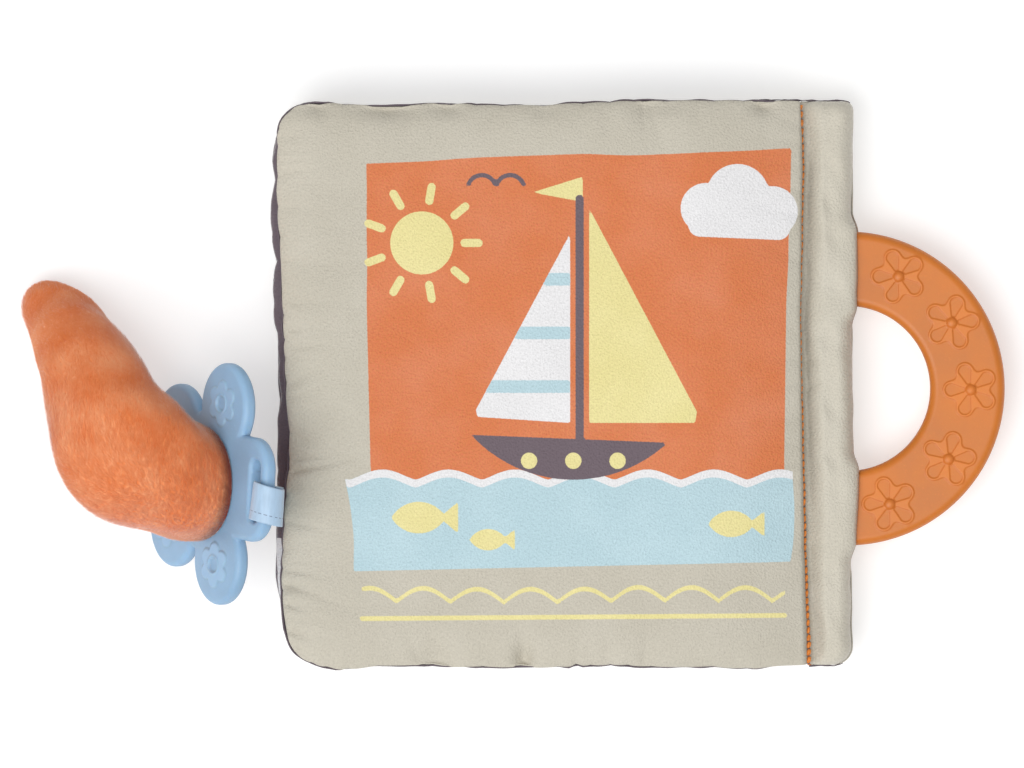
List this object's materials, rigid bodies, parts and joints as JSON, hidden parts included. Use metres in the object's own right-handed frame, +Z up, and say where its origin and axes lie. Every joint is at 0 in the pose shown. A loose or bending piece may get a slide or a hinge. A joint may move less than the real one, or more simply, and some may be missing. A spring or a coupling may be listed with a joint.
{
  "type": "baby toy book",
  "caption": "Soft padded cloth book with sewn turning pages, a ring teether handle in its spine, and a flower teether with a plush pod hanging from a ribbon.",
  "frame": {"origin": "middle of the flat face of the back cover, which rests on the table", "axes": "+X from the fore edge to the spine and its ring handle, +Y to the head of the book, +Z up through the leaves"},
  "size_m": [0.3116, 0.18, 0.0676],
  "materials": {
    "beige_cotton": "matte",
    "plum_cotton": "matte",
    "white_wadding": "matte",
    "orange_thread": "satin",
    "orange_silicone": "satin",
    "blue_silicone": "satin",
    "pale_satin": "satin",
    "orange_plush": "matte"
  },
  "bodies": {
    "spine": {"spine_front_panel": "beige_cotton", "spine_back_panel": "beige_cotton", "spine_padding": "white_wadding", "page_tabs": "plum_cotton", "gutter_stitching_front": "orange_thread", "gutter_stitching_back": "orange_thread", "teether_handle": "orange_silicone", "back_cover_lining": "plum_cotton", "back_cover_outer_panel": "beige_cotton", "back_cover_padding": "white_wadding"},
    "front_cover": {"front_cover_outer_panel": "beige_cotton", "front_cover_lining": "plum_cotton", "front_cover_padding": "white_wadding"},
    "page_1": {"page_1_front_panel": "plum_cotton", "page_1_back_panel": "plum_cotton", "page_1_padding": "white_wadding"},
    "page_2": {"page_2_front_panel": "plum_cotton", "page_2_back_panel": "plum_cotton", "page_2_padding": "white_wadding"},
    "ribbon": {"ribbon_loop": "pale_satin"},
    "teether": {"flower_teether": "blue_silicone"},
    "pod": {"pod_skin": "orange_plush", "pod_stuffing": "white_wadding", "pod_stem": "orange_plush"}
  },
  "joints": [
    {"name": "front_cover_turn", "type": "hinge", "parent": "spine", "child": "front_cover", "pos_m": [0.073, 0, 0.02525], "axis": [0, 1, 0], "range_deg": [0, 155]},
    {"name": "page_1_turn", "type": "hinge", "parent": "spine", "child": "page_1", "pos_m": [0.0704, 0, 0.01845], "axis": [0, 1, 0], "range_deg": [0, 88.5]},
    {"name": "page_2_turn", "type": "hinge", "parent": "spine", "child": "page_2", "pos_m": [0.0704, 0, 0.01445], "axis": [0, 1, 0], "range_deg": [0, 47]},
    {"name": "ribbon_swing", "type": "hinge", "parent": "front_cover", "child": "ribbon", "pos_m": [-0.09071, -0.0383, 0.0289], "axis": [0, 1, 0], "range_deg": [-30, 40]},
    {"name": "teether_swing", "type": "hinge", "parent": "ribbon", "child": "teether", "pos_m": [-0.09461, -0.0339, 0.0624], "axis": [0.0494, 0.9954, 0.0822], "range_deg": [-5, 50]},
    {"name": "pod_twist", "type": "hinge", "parent": "teether", "child": "pod", "pos_m": [-0.11235, -0.03058, 0.03288], "axis": [-0.8572, 0, 0.515], "continuous": true}
  ],
  "couplings": [
    {"joint": "page_1_turn", "follows": "front_cover_turn", "ratio": 0.57},
    {"joint": "page_2_turn", "follows": "front_cover_turn", "ratio": 0.3}
  ]
}
